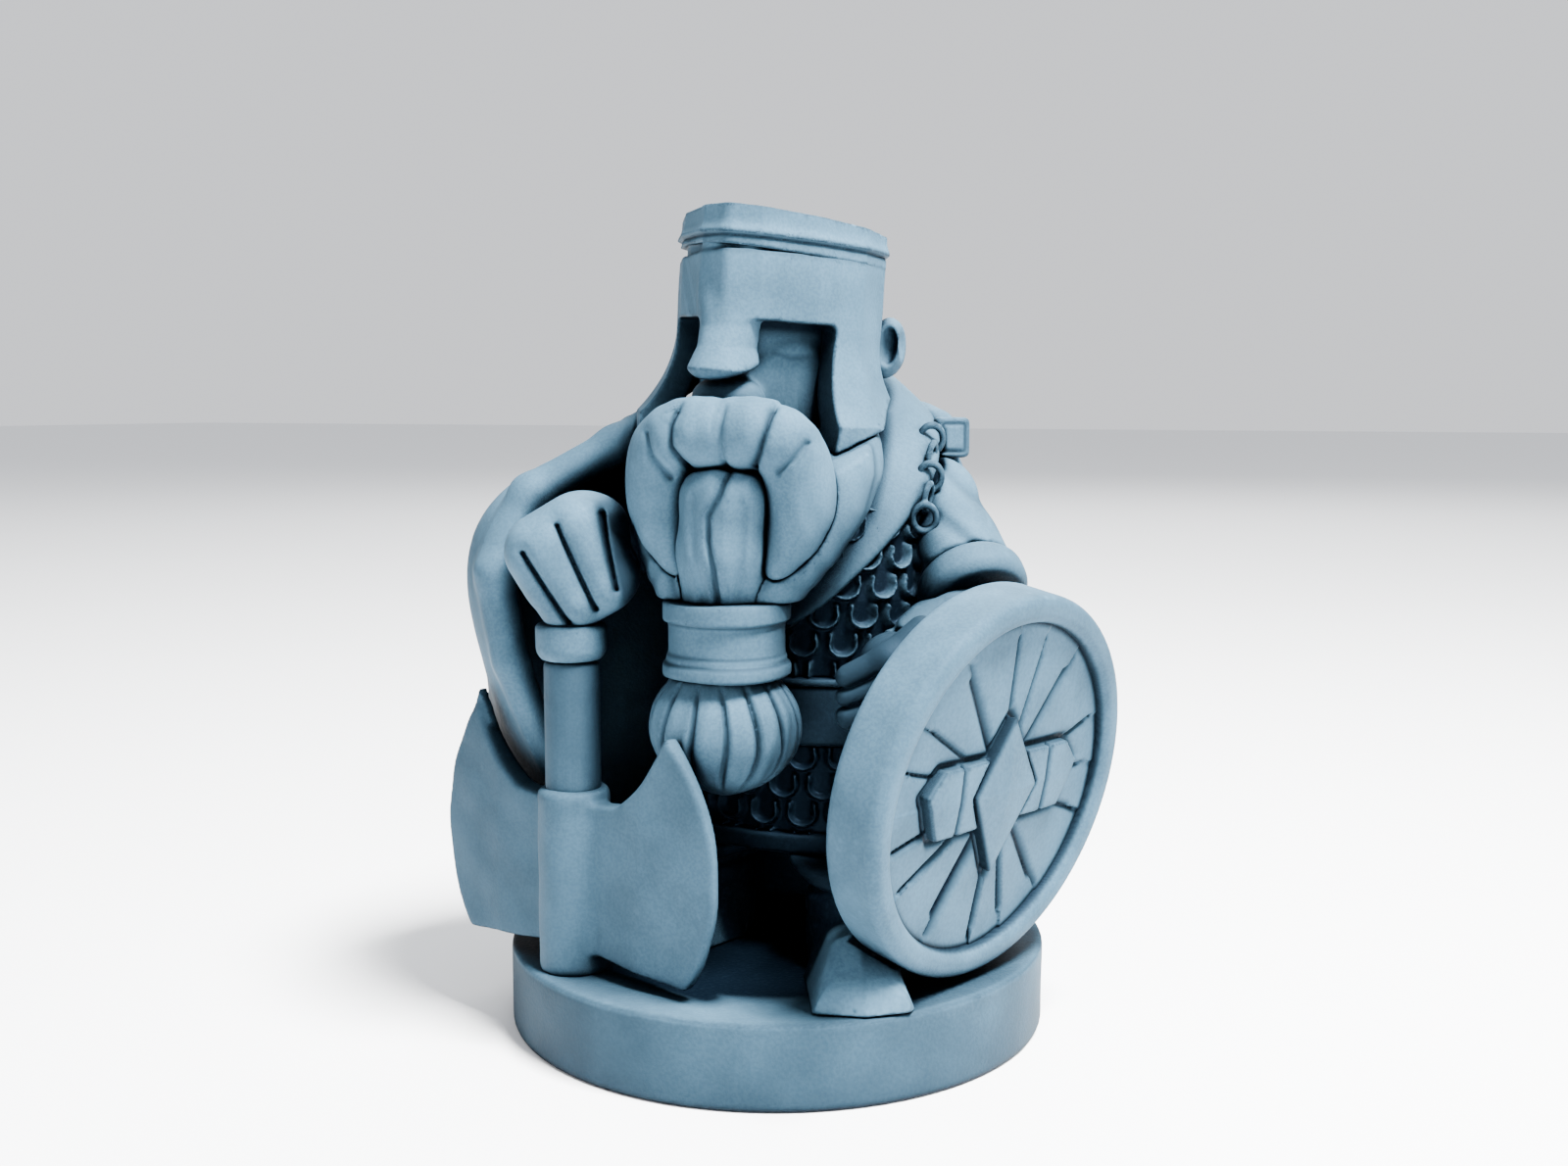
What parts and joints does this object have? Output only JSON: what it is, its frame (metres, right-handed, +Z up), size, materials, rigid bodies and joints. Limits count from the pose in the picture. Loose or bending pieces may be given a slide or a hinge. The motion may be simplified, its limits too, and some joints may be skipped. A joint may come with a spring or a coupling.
{
  "type": "tabletop miniature figure",
  "caption": "Push-fit gaming miniature: a helmeted, bearded dwarf guard in mail and cape with an axe and round shield on a round base.",
  "frame": {"origin": "centre of the round base's underside", "axes": "+Z up through the figure, the figure's chest faces -Y, its left hand with the shield is on +X"},
  "size_m": [0.0293, 0.025, 0.0366],
  "materials": {
    "base": "unpainted blue-grey resin base",
    "cloth": "unpainted blue-grey resin, fine cloth grain",
    "hair": "unpainted blue-grey resin with combed strands",
    "leather": "unpainted blue-grey resin, smooth, for boots and belt",
    "mail": "unpainted blue-grey resin with dark wash between the links",
    "metal": "unpainted blue-grey resin, smooth with worn edges",
    "shield_face": "unpainted blue-grey resin with dark wash in the grooves",
    "skin": "unpainted blue-grey resin, smooth",
    "wood_grip": "unpainted blue-grey resin with faint long grain"
  },
  "bodies": {
    "base": {"base_disc": "base"},
    "figure": {"axe_haft": "wood_grip", "axe_head": "metal", "belt": "leather", "belt_buckle": "metal", "cape": "cloth", "cape_collar": "cloth", "clasp_ring": "metal", "haft_ferrule": "metal", "left_boot": "leather", "left_cuff": "cloth", "left_forearm": "cloth", "left_hand": "skin", "left_leg": "cloth", "left_upper_arm": "cloth", "mail_shirt": "mail", "mail_skirt": "mail", "right_boot": "leather", "right_fist": "skin", "right_forearm": "cloth", "right_leg": "cloth", "right_upper_arm": "cloth", "shirt_band": "cloth", "shirt_links": "mail", "shoulder_clasp": "metal", "skirt_hem": "cloth", "skirt_links": "mail"},
    "head": {"head_core": "skin", "left_ear": "skin", "right_ear": "skin", "helmet_shell": "metal", "helmet_crown": "metal", "moustache": "hair", "chin_lock": "hair", "beard_body": "hair", "beard_ring": "metal", "beard_tuft": "hair"},
    "shield": {"shield_rim": "metal", "shield_panel": "shield_face", "shield_crest": "shield_face", "shield_boss": "shield_face"}
  },
  "joints": [
    {"name": "figure_lift", "type": "slide", "parent": "base", "child": "figure", "axis": [0, 0, 1], "range_m": [0, 0.006]},
    {"name": "head_lift", "type": "slide", "parent": "figure", "child": "head", "axis": [0, 0, 1], "range_m": [0, 0.005]},
    {"name": "shield_pull", "type": "slide", "parent": "figure", "child": "shield", "axis": [0.9478, -0.319, 0], "range_m": [0, 0.005]}
  ]
}
